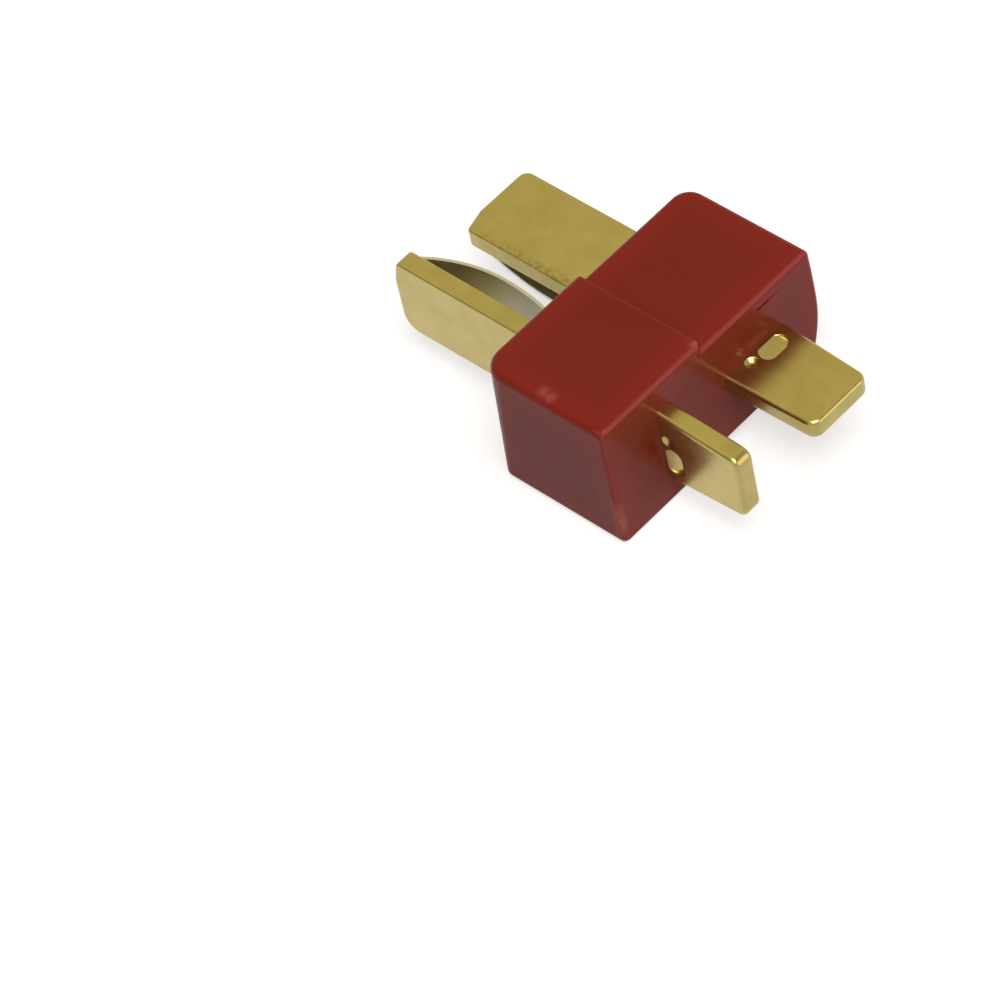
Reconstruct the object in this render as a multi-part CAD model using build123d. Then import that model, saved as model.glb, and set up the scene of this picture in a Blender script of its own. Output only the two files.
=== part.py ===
from build123d import *
import math
import os

# A two-blade battery plug in millimetres. The origin is the middle of the mating face,
# X is the way the blades point, Y runs across the width and Z is up.

# How near two measures are to count as the same
near = 0.01

# Housing
body_length = 8.2
body_width = 15.5
tall_half_height = 8.3
step_height = 0.55
step_y = 0.5
end_crown = 0.13
low_end_tuck = 0.9
mating_corner_radius = 1.1
top_corner_radius = 1.4
bottom_corner_radius = 0.5
rim_radius = 0.45
rear_edge_radius = 0.3

# Tapered slit in the rear face, above the flat tab
slit_start = -3.55
slit_length = 1.95
slit_width = 0.2
slit_depth = 0.2
slit_height = 2.82

# Contacts, stamped from one strip
strip_thickness = 1.15
blade_width = 4.9
blade_reach = 9.8
tab_end_width = 4.1
tab_root_low = 2.4
upright_root_high = 2.4
flat_root_high = 2.15
upright_tab_reach = 5.2
flat_tab_reach = 5.75
shoulder_depth = 3.2
upright_lead_radius = 1.0
flat_lead_radius = 0.55
blade_corner_radius = 0.3
tip_set_back = 0.35
tip_slope = 1.4
tab_corner_radius = 0.6
blade_edge_roll = 0.14
tab_edge_roll = 0.25
upright_y = 3.6
flat_y = -3.2
flat_tab_shift = 0.45

# Marks the press leaves in each solder tab: an oval ramp, which rises towards the
# housing, and a small round dent beside it
ramp_length = 1.7
ramp_width = 1.0
ramp_angle = 20
ramp_setback = 0.7
ramp_place = -0.8
dent_radius = 0.5
dent_depth = 0.18
dent_setback = 0.5
dent_place = 0.6
mark_lip_radius = 0.08

# Leaf springs and the pockets that hold their tails
leaf_thickness = 0.18
leaf_width = 4.1
toe_setback = 0.9
toe_gap = 0.06
crown_rise = 1.54
crown_reach = 4.3
crown_radius = 14.3
tail_rise = 0.98
tail_start = 0.1
tail_depth = 1.5
pocket_end_gap = 0.35
pocket_side_gap = 0.15
pocket_back_gap = 0.1


def on_flat(shape):
    """Place a piece, modelled lying flat, at the flat contact."""
    return Pos(0, flat_y, 0) * shape


def on_upright(shape):
    """Mirror a piece modelled lying flat, and stand it on edge at the upright contact."""
    return Pos(0, upright_y, 0) * Rot(-90, 0, 0) * mirror(shape, about=Plane.XZ)


def tall_half(top, end_y, length):
    """The half round the upright contact. Its mating corner is rounded more and more
    towards the top."""
    outlines = []
    for height, radius in ((-top, bottom_corner_radius), (top, top_corner_radius)):
        outline = make_face(Polyline((0, step_y), (0, end_y), (-length, end_y), (-length, step_y), close=True))
        corner = outline.vertices().filter_by(lambda v: v.X > -near and v.Y > end_y - near)
        outlines.append(Pos(0, 0, height) * fillet(corner, radius))
    return round_rims(loft(outlines, ruled=True), top, length)


def low_half(top, end_y, length):
    """The half round the flat contact. Its end swells a little towards mid-height and
    is tucked in below it."""
    high = (end_y + end_crown, top)
    low = (end_y + low_end_tuck, -top)
    upper_end = TangentArc((end_y, 0), high, tangent=(0, 1))
    lower_end = TangentArc((end_y, 0), low, tangent=(0, -1))
    inner = Polyline(low, (step_y, -top), (step_y, top), high)
    section = make_face(upper_end.edges() + lower_end.edges() + inner.edges())
    block = extrude(Plane.YZ * section, amount=-length)
    corner = block.edges().filter_by(lambda e: abs(e.center().X) < near and e.center().Y < end_y + 0.5)
    return round_rims(fillet(corner, mating_corner_radius), top, length)


def round_rims(block, top, length):
    """Round the upper and lower rims, but not where the halves meet or at the rear."""
    rims = block.edges().filter_by(lambda e: lies_at(e, top) and e.center().X > near - length)
    rims = rims.filter_by(lambda e: abs(e.center().Y - step_y) > near)
    return fillet(rims, rim_radius)


def lies_at(edge, height):
    """True for an edge that lies flat at this height above or below mid-height."""
    return all(abs(abs(edge.position_at(end).Z) - height) < near for end in (0, 1))


def housing_block():
    """The outer form of the housing: both halves, made longer than the housing and
    cut off square at the rear face, whose edges are rounded."""
    top = tall_half_height / 2
    half_width = body_width / 2
    length = body_length + 2 * rim_radius
    block = tall_half(top, half_width, length) + low_half(top - step_height, -half_width, length)
    block = split(block, Plane.YZ.offset(-body_length), keep=Keep.TOP)
    return fillet(block.faces().sort_by(Axis.X)[0].edges(), rear_edge_radius)


def stamped_bar(outline, low_corner, high_corner, roll):
    """Flat bar from an outline that starts at the shoulder inside the housing. The two
    corners of its free end are rounded, and the press rolled its edges."""
    outline = make_face(Polyline(*outline, close=True))
    for place, radius in ((0, low_corner), (-1, high_corner)):
        free = outline.vertices().filter_by(lambda v: -body_length - near > v.X or v.X > near)
        outline = fillet(free.sort_by(Axis.Y)[place], radius)
    bar = extrude(outline, amount=strip_thickness / 2, both=True)
    flats = bar.faces().filter_by(Axis.Z).edges()
    rolled = flats.filter_by(lambda e: abs(e.center().X + shoulder_depth) > near)
    return fillet(rolled, roll)


def press_marks():
    """Tools that press the ramp and the dent into the tab's upper face."""
    top = strip_thickness / 2
    drop = ramp_width / 2 * math.tan(math.radians(ramp_angle))
    oval = extrude(SlotOverall(ramp_length, ramp_width, rotation=90), amount=2 * strip_thickness)
    above = extrude(Rectangle(4 * ramp_width, 2 * ramp_length), amount=strip_thickness)
    above = Pos(0, 0, top - drop) * Rot(0, -ramp_angle, 0) * above
    ramp = Pos(-body_length - ramp_setback, ramp_place, 0) * (oval & above)
    dent = Pos(-body_length - dent_setback, dent_place, top - dent_depth + dent_radius)
    return ramp, dent * Sphere(dent_radius)


def solder_tab(reach, root_high):
    """The tab, which narrows from the housing on, with its press marks. Their lips
    are softened except where the ramp starts."""
    end = -body_length - reach
    tip = tab_end_width / 2
    outline = [(-shoulder_depth, -tab_root_low), (-body_length, -tab_root_low), (end, -tip)]
    outline += [(end, tip), (-body_length, root_high), (-shoulder_depth, root_high)]
    tab = stamped_bar(outline, tab_corner_radius, tab_corner_radius, tab_edge_roll)
    for mark in press_marks():
        tab -= mark
    lips = tab.edges().filter_by(lambda e: lies_at(e, strip_thickness / 2) and e.center().Z > 0)
    lips = lips.filter_by(lambda e: 0.5 < (-body_length - e.center().X) / ramp_setback < 2)
    lips = lips.filter_by(lambda e: abs(e.center().Y) < tab_end_width / 2 - tab_edge_roll - near)
    return fillet(lips, mark_lip_radius)


def contact(lead_radius, tab_reach, tab_root_high, tab_shift=0):
    """One contact lying flat: the blade in front and the narrower solder tab behind,
    which meet in a shoulder inside the housing."""
    half = blade_width / 2
    outline = [(-shoulder_depth, half), (-shoulder_depth, -half), (blade_reach, -half)]
    outline += [(blade_reach, half - tip_slope), (blade_reach - tip_set_back, half)]
    blade = stamped_bar(outline, lead_radius, blade_corner_radius, blade_edge_roll)
    return blade + Pos(0, tab_shift) * solder_tab(tab_reach, tab_root_high)


def leaf_line(shift):
    """Line along the leaf, shifted out from its middle: the tail runs along the blade,
    bends out over the crown and comes down to the toe."""
    half = leaf_thickness / 2
    run = crown_reach - tail_start
    turn = 2 * math.atan((crown_rise - tail_rise) / run)
    tail_bend_radius = run / math.sin(turn) - crown_radius
    reach = blade_reach - toe_setback - crown_reach
    fall = crown_rise - toe_gap - leaf_thickness
    front_radius = (reach**2 + fall**2) / (2 * fall)
    front_turn = math.degrees(math.asin(reach / front_radius))
    crown = (crown_reach, half - crown_rise - strip_thickness / 2 - shift)
    front = JernArc(crown, (1, 0), front_radius + shift, front_turn)
    rear = JernArc(crown, (-1, 0), crown_radius + shift, -math.degrees(turn))
    bend = JernArc(rear @ 1, rear % 1, tail_bend_radius - shift, math.degrees(turn))
    tail = Line(bend @ 1, (-tail_depth, (bend @ 1).Y))
    return [tail, bend, rear, front]


def leaf():
    """One leaf spring under the flat contact, bowed away from the blade, with a
    rounded toe that bears on the blade."""
    half = leaf_thickness / 2
    outer = leaf_line(half)
    inner = leaf_line(-half)
    tail_end = Line(outer[0] @ 1, inner[0] @ 1)
    toe = JernArc(outer[-1] @ 1, outer[-1] % 1, half, 180)
    side = make_face(outer + inner + [tail_end, toe])
    return extrude(Plane.XZ * side, amount=leaf_width / 2, both=True)


def pocket():
    """Space in the mating face for the leaf's tail, tall enough for the crown to pass
    when the leaf is pushed in."""
    depth = tail_depth + pocket_end_gap
    height = crown_rise + pocket_back_gap
    width = leaf_width + 2 * pocket_side_gap
    return Pos(-depth / 2, 0, -(strip_thickness + height) / 2) * Box(depth, width, height)


def slit():
    """Wedge that leaves the tapered slit in the rear face."""
    half = slit_width / 2
    point = slit_start - slit_length
    wedge = Polyline((slit_start, -half), (slit_start, half), (point, 0), close=True)
    tool = extrude(Plane.YZ * make_face(wedge), amount=2 * slit_depth, both=True)
    return Pos(-body_length - slit_depth, 0, slit_height) * tool


def housing(flat, upright):
    """Housing moulded round both contacts, with a pocket beside each blade."""
    block = housing_block() - slit()
    return block - flat - upright - on_flat(pocket()) - on_upright(pocket())


flat_contact = on_flat(contact(flat_lead_radius, flat_tab_reach, flat_root_high, flat_tab_shift))
upright_contact = on_upright(contact(upright_lead_radius, upright_tab_reach, upright_root_high))
pieces = {
    "housing": housing(flat_contact, upright_contact),
    "flat_contact": flat_contact,
    "upright_contact": upright_contact,
    "flat_spring": on_flat(leaf()),
    "upright_spring": on_upright(leaf()),
}

os.makedirs("parts", exist_ok=True)
for name, piece in pieces.items():
    export_step(piece, f"parts/{name}.step")
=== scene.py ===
import math

import bpy
from mathutils import Matrix, Vector

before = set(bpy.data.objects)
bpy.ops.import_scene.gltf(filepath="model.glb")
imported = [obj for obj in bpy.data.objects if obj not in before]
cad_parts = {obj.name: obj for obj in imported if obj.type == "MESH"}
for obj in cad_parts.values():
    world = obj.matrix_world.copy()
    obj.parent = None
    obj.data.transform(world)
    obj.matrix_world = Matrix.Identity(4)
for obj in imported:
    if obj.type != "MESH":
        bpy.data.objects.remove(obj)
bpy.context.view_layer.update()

# Camera. It looks down at the rear left of the plug from about a quarter of a metre, turned a
# little about its own axis. Place, turn and focal length were fitted to the plug's straight
# edges, so every corner falls where it does in the 1000 by 1000 picture.
image_width = 1000
sensor_width = 36.0
focal_length_px = 5120.0
nearest_seen = 0.01
farthest_seen = 20.0
camera_place = Vector((-0.13622148, 0.1108141, 0.18695617))
camera_right = Vector((-0.7270138, -0.6679054, -0.1592272))
camera_down = Vector((-0.4366117, 0.6286697, -0.6435407))
camera_forward = Vector((0.5299257, -0.3983425, -0.7486668))

camera_data = bpy.data.cameras.new("photo_camera")
camera_data.sensor_width = sensor_width
camera_data.lens = focal_length_px / image_width * sensor_width
camera_data.clip_start = nearest_seen
camera_data.clip_end = farthest_seen
camera = bpy.data.objects.new("photo_camera", camera_data)
turn = Matrix((camera_right, -camera_down, -camera_forward)).transposed()
camera.matrix_world = Matrix.Translation(camera_place) @ turn.to_4x4()
bpy.context.scene.collection.objects.link(camera)
bpy.context.scene.camera = camera
bpy.context.scene.view_settings.view_transform = "Standard"


# Table top. A smooth matt white board under the plug, as in a product photograph. It lights the
# plug from below as white paper does, and the plug's shine mirrors it a little brighter. The
# camera sees it lifted a shade, so that it is white and only the plug's soft shadow is left.
def linear(code):
    """Linear colour with full alpha from an sRGB hex code."""
    parts = [int(code[i:i + 2], 16) / 255 for i in (1, 3, 5)]
    return [c / 12.92 if c <= 0.04045 else ((c + 0.055) / 1.055) ** 2.4 for c in parts] + [1.0]


def add_node(tree, kind, settings=None, values=None, links=None):
    """Add one node with its settings, its input values and the links into it."""
    made = tree.nodes.new(kind)
    for name, value in (settings or {}).items():
        setattr(made, name, value)
    for socket, value in (values or {}).items():
        made.inputs[socket].default_value = value
    for socket, source in (links or {}).items():
        tree.links.new(source, made.inputs[socket])
    return made


def by_ray(tree, lighting, mirrored, seen):
    """One shader for the rays that light the plug, one for its shine, one for the camera."""
    path = add_node(tree, "ShaderNodeLightPath")
    shine = add_node(tree, "ShaderNodeMath", {"operation": "MAXIMUM"},
                     links={0: path.outputs["Is Glossy Ray"],
                            1: path.outputs["Is Transmission Ray"]})
    around = add_node(tree, "ShaderNodeMixShader",
                      links={0: shine.outputs[0], 1: lighting.outputs[0], 2: mirrored.outputs[0]})
    shown = add_node(tree, "ShaderNodeMixShader",
                     links={0: path.outputs["Is Camera Ray"], 1: around.outputs[0],
                            2: seen.outputs[0]})
    return shown.outputs[0]


board_size = 4.0
board_height = -0.00415
lift_in_shine = 0.37
lift_to_camera = 0.62

white_board = bpy.data.materials.new("matt_white_board")
white_board.use_nodes = True
tree = white_board.node_tree
tree.nodes.clear()
paper = add_node(tree, "ShaderNodeBsdfDiffuse",
                 values={"Color": linear("#C0BEBC"), "Roughness": 1.0})
paper_in_shine = add_node(tree, "ShaderNodeBsdfDiffuse",
                          values={"Color": linear("#C8C7C6"), "Roughness": 1.0})
glow_in_shine = add_node(tree, "ShaderNodeEmission",
                         values={"Color": linear("#FFFFFF"), "Strength": lift_in_shine})
mirrored = add_node(tree, "ShaderNodeAddShader",
                    links={0: paper_in_shine.outputs[0], 1: glow_in_shine.outputs[0]})
paper_to_camera = add_node(tree, "ShaderNodeBsdfDiffuse",
                           values={"Color": linear("#C2BEBB"), "Roughness": 1.0})
glow_to_camera = add_node(tree, "ShaderNodeEmission",
                          values={"Color": linear("#FFFFFF"), "Strength": lift_to_camera})
seen = add_node(tree, "ShaderNodeAddShader",
                links={0: paper_to_camera.outputs[0], 1: glow_to_camera.outputs[0]})
add_node(tree, "ShaderNodeOutputMaterial", links={"Surface": by_ray(tree, paper, mirrored, seen)})

half = board_size / 2
board_mesh = bpy.data.meshes.new("table_top")
board_mesh.from_pydata(
    [(-half, -half, board_height), (half, -half, board_height),
     (half, half, board_height), (-half, half, board_height)], [], [(0, 1, 2, 3)])
board_mesh.materials.append(white_board)
table_top = bpy.data.objects.new("table_top", board_mesh)
bpy.context.scene.collection.objects.link(table_top)


# Studio light. A broad softbox hangs overhead, a fainter one stands low at the rear right, and a
# small lamp beside the camera gives the rolled edges a glint. The dim room mirrors as cream walls
# with two darker corners, which draw the darker lines along the contacts' edges.
def softbox(name, towards, strength, spread_deg):
    """A far, broad lamp that shines from the direction towards."""
    data = bpy.data.lights.new(name, "SUN")
    data.energy = strength
    data.angle = math.radians(spread_deg)
    lamp = bpy.data.objects.new(name, data)
    lamp.rotation_euler = Vector(towards).to_track_quat("Z", "Y").to_euler()
    bpy.context.scene.collection.objects.link(lamp)


def room_corner(tree, direction, corner):
    """A soft part of the room, 1 within 11 degrees of its corner and 0 from 33 degrees on."""
    towards = add_node(tree, "ShaderNodeVectorMath", {"operation": "DOT_PRODUCT"},
                       {1: Vector(corner).normalized()}, {0: direction})
    return add_node(tree, "ShaderNodeMapRange", {"interpolation_type": "SMOOTHSTEP"},
                    {"From Min": 0.84, "From Max": 0.98}, {"Value": towards.outputs["Value"]})


softbox("overhead_softbox", (-0.36, 0.18, 0.92), 2.05, 42)
softbox("low_side_softbox", (-0.86, -0.42, 0.28), 0.34, 40)
softbox("lamp_beside_camera", (-0.46, 0.59, 0.64), 0.1, 10)

room_light = 0.25
room = bpy.data.worlds.new("studio_room")
room.use_nodes = True
tree = room.node_tree
tree.nodes.clear()
direction = add_node(tree, "ShaderNodeTexCoord").outputs["Generated"]
left_corner = room_corner(tree, direction, (0.53, 0.73, 0.38))
rear_corner = room_corner(tree, direction, (-0.53, -0.40, 0.75))
walls = add_node(tree, "ShaderNodeMix", {"data_type": "RGBA"},
                 {6: linear("#D2CAA2"), 7: linear("#948B62")}, {0: left_corner.outputs[0]})
walls = add_node(tree, "ShaderNodeMix", {"data_type": "RGBA"}, {7: linear("#98917A")},
                 {0: rear_corner.outputs[0], 6: walls.outputs[2]})
dim = add_node(tree, "ShaderNodeBackground",
               values={"Color": linear("#FFFFFF"), "Strength": room_light})
mirrored = add_node(tree, "ShaderNodeBackground", links={"Color": walls.outputs[2]})
white = add_node(tree, "ShaderNodeBackground",
                 values={"Color": linear("#FFFFFF"), "Strength": 1.0})
add_node(tree, "ShaderNodeOutputWorld", links={"Surface": by_ray(tree, dim, mirrored, white)})
bpy.context.scene.world = room


# Housing. One block of glass-filled nylon, moulded round both contacts, deep red all through.
# The mould left a satin skin with faint flow marks and a glossier rear face. A painted glow makes
# it brighter towards its edges, and handling has paled the rims and a few spots, with painted
# highlights mixed into these pale marks. All sizes are in mm.
def in_millimetres(tree):
    """The place on a piece, in millimetres."""
    metres = add_node(tree, "ShaderNodeTexCoord").outputs["Object"]
    return add_node(tree, "ShaderNodeVectorMath", {"operation": "SCALE"}, {"Scale": 1000.0},
                    {0: metres}).outputs[0]


def overlap(tree, masks):
    """One mask that shows only where all the masks do."""
    shared = masks[0]
    for mask in masks[1:]:
        shared = add_node(tree, "ShaderNodeMath", {"operation": "MULTIPLY"},
                          links={0: shared.outputs[0], 1: mask.outputs[0]})
    return shared


def spot(tree, place, centre, radius, squash, strength):
    """A soft round patch, strongest at its centre and gone from its radius on."""
    shifted = add_node(tree, "ShaderNodeMapping", {"vector_type": "TEXTURE"},
                       {"Location": centre, "Scale": [radius * part for part in squash]},
                       {"Vector": place})
    far = add_node(tree, "ShaderNodeVectorMath", {"operation": "LENGTH"},
                   links={0: shifted.outputs[0]})
    return add_node(tree, "ShaderNodeMapRange", {"interpolation_type": "SMOOTHSTEP"},
                    {"From Min": 1.0, "From Max": 0.0, "To Max": strength},
                    {"Value": far.outputs["Value"]})


block_length = 8.2
block_width = 15.5
block_height = 8.3
step_height = 0.55
step_start = 0.49

# The patterns' scales. A flow mark is about 3.3 mm wide, a scuff 0.4 mm and a wave 2 mm. The
# real grain is finer than shows, so it is drawn coarser, about 0.17 mm wide.
flow_marks_per_mm = 0.3
scuffs_per_mm = 2.5
waves_per_mm = 0.5
grain_per_mm = 6.0

red_nylon = bpy.data.materials.new("moulded_red_nylon")
red_nylon.use_nodes = True
tree = red_nylon.node_tree
tree.nodes.clear()
place = in_millimetres(tree)
axis = add_node(tree, "ShaderNodeSeparateXYZ", links={"Vector": place})

# How far the surface is from each pair of the block's faces. The middle one of the three is the
# distance to the nearest edge. The low half's top lies a step lower.
centred = add_node(tree, "ShaderNodeVectorMath", {"operation": "ADD"},
                   {1: (block_length / 2, 0, 0)}, {0: place})
from_middle = add_node(tree, "ShaderNodeVectorMath", {"operation": "ABSOLUTE"},
                       links={0: centred.outputs[0]})
inside = add_node(tree, "ShaderNodeVectorMath", {"operation": "SUBTRACT"},
                  {0: (block_length / 2, block_width / 2, block_height / 2)},
                  {1: from_middle.outputs[0]})
depth = add_node(tree, "ShaderNodeSeparateXYZ", links={"Vector": inside.outputs[0]})
low_half = add_node(tree, "ShaderNodeMath", {"operation": "LESS_THAN"}, {1: step_start},
                    {0: axis.outputs["Y"]})
under_top = add_node(tree, "ShaderNodeMath", {"operation": "MULTIPLY_ADD"}, {1: -step_height},
                     {0: low_half.outputs[0], 2: depth.outputs["Z"]})
nearer = add_node(tree, "ShaderNodeMath", {"operation": "MINIMUM"},
                  links={0: depth.outputs["X"], 1: under_top.outputs[0]})
farther = add_node(tree, "ShaderNodeMath", {"operation": "MAXIMUM"},
                   links={0: depth.outputs["X"], 1: under_top.outputs[0]})
capped = add_node(tree, "ShaderNodeMath", {"operation": "MINIMUM"},
                  links={0: farther.outputs[0], 1: depth.outputs["Y"]})
to_edge = add_node(tree, "ShaderNodeMath", {"operation": "MAXIMUM"},
                   links={0: nearer.outputs[0], 1: capped.outputs[0]}).outputs[0]

# Colour. Deep red with faint cloudy flow marks, and a painted glow that makes it brighter within
# 2 mm of the edges, standing in for light through the nylon there.
flow_marks = add_node(tree, "ShaderNodeTexNoise",
                      values={"Scale": flow_marks_per_mm, "Detail": 3.0, "Roughness": 0.5},
                      links={"Vector": place})
tint = add_node(tree, "ShaderNodeMix", {"data_type": "RGBA"},
                {6: linear("#782319"), 7: linear("#81251A")}, {0: flow_marks.outputs["Fac"]})
painted_edge_glow = add_node(tree, "ShaderNodeMapRange", {"interpolation_type": "SMOOTHSTEP"},
                     {"From Min": 2.2, "From Max": 0.3, "To Max": 0.8}, {"Value": to_edge})
tint = add_node(tree, "ShaderNodeMix", {"data_type": "RGBA"}, {7: linear("#8A271C")},
                {0: painted_edge_glow.outputs[0], 6: tint.outputs[2]})

# Wear and painted highlight. A thin pale line, partly rubbed and partly a painted highlight, runs
# along the rear rim, and a fainter one along the top of the step.
rim = add_node(tree, "ShaderNodeMapRange", {"interpolation_type": "SMOOTHSTEP"},
               {"From Min": 0.26, "From Max": 0.12, "To Max": 0.22}, {"Value": to_edge})
rear_end = add_node(tree, "ShaderNodeMapRange", {"interpolation_type": "SMOOTHSTEP"},
                    {"From Min": -7.3, "From Max": -7.8}, {"Value": axis.outputs["X"]})
step_edge = add_node(tree, "ShaderNodeMapRange", {"interpolation_type": "SMOOTHSTEP"},
                     {"From Min": 0.66, "From Max": 0.54, "To Max": 0.1},
                     {"Value": axis.outputs["Y"]})
tall_half = add_node(tree, "ShaderNodeMath", {"operation": "SUBTRACT"}, {0: 1.0},
                     {1: low_half.outputs[0]})
on_top = add_node(tree, "ShaderNodeMath", {"operation": "GREATER_THAN"}, {1: 4.0},
                  {0: axis.outputs["Z"]})
marks = [overlap(tree, (rim, rear_end)), overlap(tree, (step_edge, tall_half, on_top))]

# Knocks and finger marks left broken paler spots: two smudges on the left rim, the rear corner
# of the step, and a streak up the left rear edge. The step corner and the streak are partly
# painted highlights.
scuffs = add_node(tree, "ShaderNodeTexNoise",
                  values={"Scale": scuffs_per_mm, "Detail": 5.0, "Roughness": 0.65},
                  links={"Vector": place})
broken = add_node(tree, "ShaderNodeMapRange",
                  values={"From Min": 0.38, "From Max": 0.62, "To Min": 0.5},
                  links={"Value": scuffs.outputs["Fac"]})
for centre, radius, squash, strength in (
        ((-3.9, 7.2, 4.12), 0.55, (1, 1, 1), 0.4),
        ((-4.45, 7.25, 4.1), 0.5, (1, 1, 1), 0.6),
        ((-8.1, 0.6, 4.1), 0.6, (1, 1, 1), 0.6),
        ((-8.05, 7.62, -2.3), 2.2, (0.2, 0.2, 1), 1.0)):
    marks.append(overlap(tree, (spot(tree, place, centre, radius, squash, strength), broken)))
wear_and_highlight = marks[0]
for mark in marks[1:]:
    wear_and_highlight = add_node(tree, "ShaderNodeMath", {"operation": "MAXIMUM"},
                    links={0: wear_and_highlight.outputs[0], 1: mark.outputs[0]})
# The pale marks lighten the colour: rubbed wear, with painted highlights along the rear rim, at
# the step corner and in the streak.
tint = add_node(tree, "ShaderNodeMix", {"data_type": "RGBA"}, {7: linear("#B9675F")},
                {0: wear_and_highlight.outputs[0], 6: tint.outputs[2]})

# Skin. Satin, with a weak shine and a fine grain. The last 0.1 mm at the rear has a clear gloss
# that waves a little, so the tabs mirror softly in it.
glossy_rear = add_node(tree, "ShaderNodeMapRange",
                       values={"From Min": -8.1, "From Max": -8.18, "To Max": 0.18},
                       links={"Value": axis.outputs["X"]})
waves = add_node(tree, "ShaderNodeTexNoise", values={"Scale": waves_per_mm, "Detail": 1.0},
                 links={"Vector": place})
wavy = add_node(tree, "ShaderNodeBump", values={"Strength": 0.08, "Distance": 0.0003},
                links={"Height": waves.outputs["Fac"]})
grain = add_node(tree, "ShaderNodeTexNoise", values={"Scale": grain_per_mm, "Detail": 2.0},
                 links={"Vector": place})
skin = add_node(tree, "ShaderNodeBump", values={"Strength": 0.04, "Distance": 0.00001},
                links={"Height": grain.outputs["Fac"], "Normal": wavy.outputs[0]})
body = add_node(tree, "ShaderNodeBsdfPrincipled",
                values={"Roughness": 0.3, "IOR": 1.5, "Specular IOR Level": 0.12,
                        "Coat Roughness": 0.12},
                links={"Base Color": tint.outputs[2], "Normal": skin.outputs[0],
                       "Coat Weight": glossy_rear.outputs[0], "Coat Normal": wavy.outputs[0]})
add_node(tree, "ShaderNodeOutputMaterial", links={"Surface": body.outputs[0]})
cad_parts["housing"].material_slots[0].material = red_nylon

# Contacts. Stamped brass strip, one upright and one flat, each one piece from blade tip to
# solder tab. The satin gold plate over it is a softly mottled yellow that mirrors the housing
# and the table with a blur. All sizes are in mm.

# The patterns' scales. A cloud in the plate is about 1.7 mm wide and a speck of the painted dark
# edge reflection 0.3 mm.
# The real grain is finer than shows, so it is drawn coarser, 0.2 mm wide.
clouds_per_mm = 0.6
specks_per_mm = 3.4
grain_per_mm = 5.0

gold_plate = bpy.data.materials.new("satin_gold_plate")
gold_plate.use_nodes = True
tree = gold_plate.node_tree
tree.nodes.clear()
place = in_millimetres(tree)
axis = add_node(tree, "ShaderNodeSeparateXYZ", links={"Vector": place})
clouds = add_node(tree, "ShaderNodeTexNoise",
                  values={"Scale": clouds_per_mm, "Detail": 5.0, "Roughness": 0.6},
                  links={"Vector": place})
tint = add_node(tree, "ShaderNodeMix", {"data_type": "RGBA"},
                {6: linear("#BBA75D"), 7: linear("#DCCC8C")}, {0: clouds.outputs["Fac"]})

# A painted dark reflection, broken into specks, lies as a thin band on top of the flat blade
# along its inner edge, darker towards the housing.
inner_edge = add_node(tree, "ShaderNodeMapRange", {"interpolation_type": "SMOOTHSTEP"},
                      {"From Min": -1.5, "From Max": -0.95, "To Max": 0.75},
                      {"Value": axis.outputs["Y"]})
flat_side = add_node(tree, "ShaderNodeMath", {"operation": "LESS_THAN"}, {1: 0.0},
                     {0: axis.outputs["Y"]})
face_up = add_node(tree, "ShaderNodeMapRange", values={"From Min": 0.4, "From Max": 0.56},
                   links={"Value": axis.outputs["Z"]})
specks = add_node(tree, "ShaderNodeTexNoise",
                  values={"Scale": specks_per_mm, "Detail": 6.0, "Roughness": 0.7},
                  links={"Vector": place})
speckled = add_node(tree, "ShaderNodeMapRange", values={"From Min": 0.4, "From Max": 0.68},
                    links={"Value": specks.outputs["Fac"]})
blade_end = add_node(tree, "ShaderNodeMath", {"operation": "GREATER_THAN"}, {1: 0.0},
                     {0: axis.outputs["X"]})
near_housing = add_node(tree, "ShaderNodeMapRange", {"interpolation_type": "SMOOTHSTEP"},
                        {"From Min": 9.0, "From Max": 5.0}, {"Value": axis.outputs["X"]})
painted_edge_reflection = overlap(tree, (inner_edge, flat_side, face_up, speckled, blade_end, near_housing))
tint = add_node(tree, "ShaderNodeMix", {"data_type": "RGBA"}, {7: linear("#8B7433")},
                {0: painted_edge_reflection.outputs[0], 6: tint.outputs[2]})

# Skin. Satin, hazier in some places than in others, with a fine grain.
haze = add_node(tree, "ShaderNodeMapRange", values={"To Min": 0.21, "To Max": 0.31},
                links={"Value": clouds.outputs["Fac"]})
grain = add_node(tree, "ShaderNodeTexNoise", values={"Scale": grain_per_mm, "Detail": 2.0},
                 links={"Vector": place})
skin = add_node(tree, "ShaderNodeBump", values={"Strength": 0.05, "Distance": 0.00001},
                links={"Height": grain.outputs["Fac"]})
plate = add_node(tree, "ShaderNodeBsdfPrincipled", values={"Metallic": 1.0},
                 links={"Base Color": tint.outputs[2], "Roughness": haze.outputs[0],
                        "Normal": skin.outputs[0]})
add_node(tree, "ShaderNodeOutputMaterial", links={"Surface": plate.outputs[0]})
for name in ("upright_contact", "flat_contact"):
    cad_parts[name].material_slots[0].material = gold_plate

# Leaf springs. Thin rolled spring steel, one bowed out beside each blade. Rolling left both
# faces bright and even, so the steel is pale grey with a wide soft sheen and faint patches, each
# about 1.1 mm across.
patches_per_mm = 0.9

spring_steel = bpy.data.materials.new("rolled_spring_steel")
spring_steel.use_nodes = True
tree = spring_steel.node_tree
tree.nodes.clear()
patches = add_node(tree, "ShaderNodeTexNoise", values={"Scale": patches_per_mm, "Detail": 4.0},
                   links={"Vector": in_millimetres(tree)})
tint = add_node(tree, "ShaderNodeMix", {"data_type": "RGBA"},
                {6: linear("#DAD9CE"), 7: linear("#E6E5DE")}, {0: patches.outputs["Fac"]})
steel = add_node(tree, "ShaderNodeBsdfPrincipled", values={"Metallic": 1.0, "Roughness": 0.36},
                 links={"Base Color": tint.outputs[2]})
add_node(tree, "ShaderNodeOutputMaterial", links={"Surface": steel.outputs[0]})
for name in ("upright_spring", "flat_spring"):
    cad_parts[name].material_slots[0].material = spring_steel
